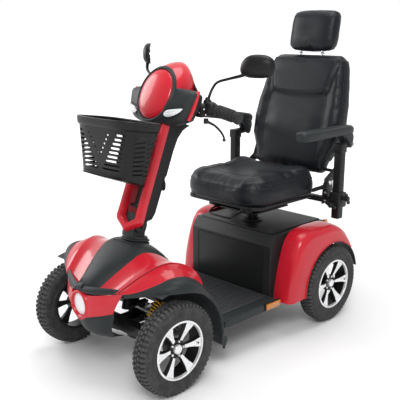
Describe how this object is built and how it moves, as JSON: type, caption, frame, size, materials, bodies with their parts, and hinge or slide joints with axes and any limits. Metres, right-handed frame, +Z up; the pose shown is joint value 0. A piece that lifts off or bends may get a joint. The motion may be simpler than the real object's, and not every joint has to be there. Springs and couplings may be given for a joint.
{
  "type": "mobility scooter",
  "caption": "Battery mobility scooter with coil-sprung front steering, tilting tiller, lift-off basket, swivelling reclining seat, flip-up armrests and mirrors",
  "frame": {"origin": "On the ground, under the centre of the machine's bounding box.", "axes": "+Z is up. The front of the scooter faces -Y. The rider's left is +X. X runs along the wheel axles."},
  "size_m": [0.7288, 1.3851, 1.3188],
  "materials": {
    "red_gloss": "gloss clear-coated red",
    "red_plastic": "gloss red moulding",
    "charcoal": "fine-grained charcoal moulding",
    "black_steel": "satin black powder coat",
    "rubber_mat": "ribbed rubber",
    "tyre": "dark rubber with side lugs",
    "rim": "silver paint",
    "zinc": "zinc plated",
    "alloy": "cast alloy",
    "spring": "yellow painted springs on black dampers",
    "leatherette": "smooth upholstery with a soft sheen",
    "lens_white": "clear ribbed lens",
    "lens_amber": "amber lens",
    "chrome": "polished",
    "grip": "soft ribbed rubber",
    "cell": "plain casing",
    "dash": "dark panel with a display window",
    "button": "coloured push button"
  },
  "bodies": {
    "chassis": {"main_frame": "black_steel", "floor_tray": "charcoal", "floor_mat": "rubber_mat", "front_shroud": "charcoal", "front_wings": "red_gloss", "nose_panel": "red_gloss", "arch_trims": "charcoal", "headlamp_unit": "red_plastic", "headlamp_lens": "lens_white", "seat_box": "charcoal", "rear_fenders": "red_gloss", "marker_lamps": "lens_amber", "batteries": "cell", "transaxle": "alloy"},
    "front_axle": {"front_axle_beam": "black_steel", "front_shocks": "spring"},
    "knuckle_left": {"knuckle_left": "zinc"},
    "knuckle_right": {"knuckle_right": "zinc"},
    "tie_rods": {"tie_rods": "zinc"},
    "column": {"steering_column": "zinc", "column_bellows": "rubber_mat"},
    "tiller": {"tiller_front_cover": "red_plastic", "tiller_rear_cover": "charcoal", "handlebar": "black_steel", "handgrips": "grip", "head_shell": "charcoal", "head_cap": "red_plastic", "head_lenses": "lens_white", "dashboard": "dash"},
    "seat": {"seat_base": "black_steel", "seat_cushion": "leatherette"},
    "backrest": {"backrest_frame": "black_steel", "backrest_cushion": "leatherette"},
    "headrest": {"headrest_posts": "chrome", "headrest_cushion": "leatherette"},
    "wheel_front_left": {"rim_front_left": "rim", "tyre_front_left": "tyre"},
    "wheel_front_right": {"rim_front_right": "rim", "tyre_front_right": "tyre"},
    "wheel_rear_left": {"rim_rear_left": "rim", "tyre_rear_left": "tyre"},
    "wheel_rear_right": {"rim_rear_right": "rim", "tyre_rear_right": "tyre"},
    "brake_lever": {"brake_lever": "black_steel"},
    "throttle_lever": {"throttle_lever": "black_steel"},
    "tilt_lever": {"tilt_lever": "charcoal"},
    "speed_dial": {"speed_dial": "charcoal"},
    "ignition_key": {"ignition_key": "zinc"},
    "horn_button": {"horn_button": "button"},
    "basket": {"basket": "charcoal"},
    "mirror_left": {"mirror_left": "charcoal"},
    "mirror_right": {"mirror_right": "charcoal"},
    "seat_turntable": {"seat_turntable": "black_steel"},
    "swivel_lever": {"swivel_lever": "charcoal"},
    "slide_lever": {"slide_lever": "zinc"},
    "recline_lever": {"recline_lever": "charcoal"},
    "armrest_left": {"armrest_left": "charcoal"},
    "armrest_right": {"armrest_right": "charcoal"},
    "arm_post_left": {"arm_post_left": "black_steel"},
    "arm_post_right": {"arm_post_right": "black_steel"}
  },
  "joints": [
    {"name": "steer", "type": "hinge", "parent": "chassis", "child": "column", "pos_m": [0, -0.435, 0.487], "axis": [0, 0.2079, 0.9781], "range_deg": [-35, 35]},
    {"name": "tiller_tilt", "type": "hinge", "parent": "column", "child": "tiller", "pos_m": [0, -0.437, 0.54], "axis": [1, 0, 0], "range_deg": [-20, 15]},
    {"name": "front_suspension", "type": "hinge", "parent": "chassis", "child": "front_axle", "pos_m": [0, -0.345, 0.122], "axis": [1, 0, 0], "range_deg": [-3.3, 3.3], "stiffness_Nm_per_rad": 4000, "deforming": ["front_shocks"]},
    {"name": "kingpin_left", "type": "hinge", "parent": "front_axle", "child": "knuckle_left", "pos_m": [0.245, -0.518, 0.17], "axis": [0, 0, 1], "range_deg": [-35, 35]},
    {"name": "kingpin_right", "type": "hinge", "parent": "front_axle", "child": "knuckle_right", "pos_m": [-0.245, -0.518, 0.17], "axis": [0, 0, 1], "range_deg": [-35, 35]},
    {"name": "tie_rod_pivot", "type": "hinge", "parent": "knuckle_left", "child": "tie_rods", "pos_m": [0.245, -0.428, 0.205], "axis": [0, 0, 1], "range_deg": [-35, 35]},
    {"name": "spin_front_left", "type": "hinge", "parent": "knuckle_left", "child": "wheel_front_left", "pos_m": [0.302, -0.518, 0.17], "axis": [1, 0, 0], "continuous": true},
    {"name": "spin_front_right", "type": "hinge", "parent": "knuckle_right", "child": "wheel_front_right", "pos_m": [-0.302, -0.518, 0.17], "axis": [1, 0, 0], "continuous": true},
    {"name": "spin_rear_left", "type": "hinge", "parent": "chassis", "child": "wheel_rear_left", "pos_m": [0.302, 0.388, 0.17], "axis": [1, 0, 0], "continuous": true},
    {"name": "spin_rear_right", "type": "hinge", "parent": "chassis", "child": "wheel_rear_right", "pos_m": [-0.302, 0.388, 0.17], "axis": [1, 0, 0], "continuous": true},
    {"name": "tilt_lever_pivot", "type": "hinge", "parent": "tiller", "child": "tilt_lever", "pos_m": [0, -0.325, 0.706], "axis": [1, 0, 0], "range_deg": [0, 7], "stiffness_Nm_per_rad": 2},
    {"name": "speed_dial_turn", "type": "hinge", "parent": "tiller", "child": "speed_dial", "pos_m": [0.062, -0.228, 0.966], "axis": [0, 0.9806, 0.1961], "range_deg": [-135, 135]},
    {"name": "ignition_turn", "type": "hinge", "parent": "tiller", "child": "ignition_key", "pos_m": [-0.062, -0.228, 0.966], "axis": [0, 0.9806, 0.1961], "range_deg": [0, 60]},
    {"name": "horn_press", "type": "slide", "parent": "tiller", "child": "horn_button", "axis": [0, 0, -1], "range_m": [0, 0.004], "stiffness_N_per_m": 600},
    {"name": "brake_squeeze", "type": "hinge", "parent": "tiller", "child": "brake_lever", "pos_m": [0.146, -0.208, 0.916], "axis": [0, 0, -1], "range_deg": [0, 14], "stiffness_Nm_per_rad": 2},
    {"name": "throttle_squeeze", "type": "hinge", "parent": "tiller", "child": "throttle_lever", "pos_m": [-0.146, -0.208, 0.916], "axis": [0, 0, 1], "range_deg": [0, 14], "stiffness_Nm_per_rad": 2},
    {"name": "mirror_turn_left", "type": "hinge", "parent": "tiller", "child": "mirror_left", "pos_m": [0.142, -0.196, 0.978], "axis": [0, 0, 1], "range_deg": [-30, 40]},
    {"name": "mirror_turn_right", "type": "hinge", "parent": "tiller", "child": "mirror_right", "pos_m": [-0.142, -0.196, 0.978], "axis": [0, 0, 1], "range_deg": [-15, 45]},
    {"name": "basket_lift", "type": "slide", "parent": "tiller", "child": "basket", "axis": [0, 0, 1], "range_m": [0, 0.06]},
    {"name": "seat_swivel", "type": "hinge", "parent": "chassis", "child": "seat_turntable", "pos_m": [0, 0.225, 0.49], "axis": [0, 0, 1], "range_deg": [0, 90]},
    {"name": "swivel_lever_pivot", "type": "hinge", "parent": "seat_turntable", "child": "swivel_lever", "pos_m": [-0.115, 0.194, 0.484], "axis": [0, 1, 0], "range_deg": [-8, 0], "stiffness_Nm_per_rad": 3},
    {"name": "seat_slide", "type": "slide", "parent": "seat_turntable", "child": "seat", "axis": [0, 1, 0], "range_m": [-0.06, 0.06]},
    {"name": "slide_lever_pivot", "type": "hinge", "parent": "seat", "child": "slide_lever", "pos_m": [0, 0.11, 0.503], "axis": [1, 0, 0], "range_deg": [-3, 0], "stiffness_Nm_per_rad": 3},
    {"name": "backrest_recline", "type": "hinge", "parent": "seat", "child": "backrest", "pos_m": [0, 0.44, 0.6], "axis": [1, 0, 0], "range_deg": [-20, 12]},
    {"name": "recline_lever_pivot", "type": "hinge", "parent": "seat", "child": "recline_lever", "pos_m": [0.253, 0.416, 0.59], "axis": [1, 0, 0], "range_deg": [-15, 0], "stiffness_Nm_per_rad": 3},
    {"name": "headrest_height", "type": "slide", "parent": "backrest", "child": "headrest", "axis": [0, 0.1686, 0.9857], "range_m": [0, 0.05]},
    {"name": "arm_height_left", "type": "slide", "parent": "seat", "child": "arm_post_left", "axis": [0, 0, 1], "range_m": [0, 0.06]},
    {"name": "arm_height_right", "type": "slide", "parent": "seat", "child": "arm_post_right", "axis": [0, 0, 1], "range_m": [0, 0.06]},
    {"name": "arm_flip_left", "type": "hinge", "parent": "arm_post_left", "child": "armrest_left", "pos_m": [0.3, 0.5, 0.768], "axis": [-1, 0, 0], "range_deg": [0, 95]},
    {"name": "arm_flip_right", "type": "hinge", "parent": "arm_post_right", "child": "armrest_right", "pos_m": [-0.3, 0.5, 0.768], "axis": [-1, 0, 0], "range_deg": [-9, 86]}
  ],
  "couplings": [
    {"joint": "kingpin_left", "follows": "steer", "ratio": 1},
    {"joint": "kingpin_right", "follows": "steer", "ratio": 1},
    {"joint": "tie_rod_pivot", "follows": "steer", "ratio": -1}
  ]
}
